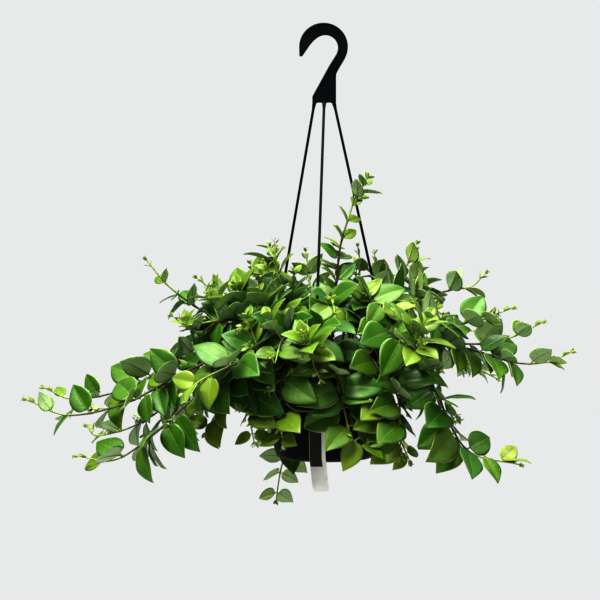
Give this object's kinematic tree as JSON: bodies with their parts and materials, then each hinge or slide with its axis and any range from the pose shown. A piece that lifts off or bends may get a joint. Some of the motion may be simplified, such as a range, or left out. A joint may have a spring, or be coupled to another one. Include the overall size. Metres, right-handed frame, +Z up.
{
  "type": "potted lipstick plant in a hanging pot",
  "caption": "Trailing lipstick plant with thick pointed oval leaves in a round black nursery pot that hangs from a moulded hook with three strands.",
  "frame": {"origin": "the point inside the hook that bears on its support, on the pot's axis", "axes": "+Z up, +X to the right seen from the front, -Y out of the front, where the label hangs"},
  "size_m": [0.6929, 0.4166, 0.6562],
  "materials": {
    "black_plastic": "satin moulded polypropylene",
    "potting_mix": "damp crumbly peat and bark",
    "label_plastic": "thin white sheet with a dark brown panel",
    "leaf": "waxy fresh leaves on green to brown stems"
  },
  "bodies": {
    "root": {"hanger": "black_plastic", "pot": "black_plastic", "potting_mix": "potting_mix", "label": "label_plastic", "stem_left_high": "leaf", "stem_left_mid": "leaf", "stem_left_low": "leaf", "stem_left_back": "leaf", "stem_left_drop": "leaf", "stem_left_up": "leaf", "stem_left_crest": "leaf", "stem_left_hook": "leaf", "stem_left_front": "leaf", "stem_left_leaf": "leaf", "stem_left_far": "leaf", "stem_top_left": "leaf", "stem_top_lean": "leaf", "stem_top_mid": "leaf", "stem_top_tall": "leaf", "stem_top_yellow": "leaf", "stem_top_right": "leaf", "stem_right_bud": "leaf", "stem_right_up": "leaf", "stem_right_high": "leaf", "stem_right_mid": "leaf", "stem_right_long": "leaf", "stem_right_low": "leaf", "stem_right_front": "leaf", "stem_right_drop": "leaf", "stem_front_left": "leaf", "stem_front_right": "leaf", "stem_front_shoot": "leaf", "stem_front_mid": "leaf", "stem_low_left": "leaf", "stem_low_right": "leaf", "stem_crown_left": "leaf", "stem_crown_mid": "leaf", "stem_crown_right": "leaf", "stem_crown_east": "leaf", "stem_crown_west": "leaf", "stem_behind_left": "leaf", "stem_behind_right": "leaf", "stem_behind_mid": "leaf", "stem_behind_east": "leaf", "stem_behind_crown": "leaf", "stem_behind_high": "leaf", "stem_behind_low": "leaf"}
  },
  "joints": []
}
